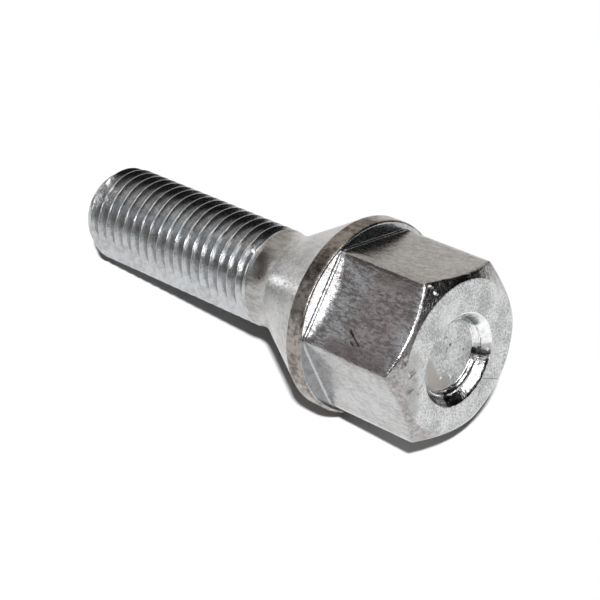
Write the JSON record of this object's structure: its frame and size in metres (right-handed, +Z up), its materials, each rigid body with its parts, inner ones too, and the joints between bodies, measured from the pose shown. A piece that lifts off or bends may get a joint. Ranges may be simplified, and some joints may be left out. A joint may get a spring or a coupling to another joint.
{
  "type": "wheel bolt",
  "caption": "Hexagon head wheel bolt with a conical seat and collar, smooth neck and metric threaded shank, lying on its side.",
  "frame": {"origin": "on the surface that the bolt lies on, under the centre of its bounding box", "axes": "+X along the lying bolt from its threaded tip to its head, +Z up"},
  "size_m": [0.0568, 0.0224, 0.023],
  "materials": {
    "zinc_plated_steel": "bright zinc plating, lightly rubbed and scuffed"
  },
  "bodies": {
    "root": {"wheel_bolt": "zinc_plated_steel"}
  },
  "joints": []
}
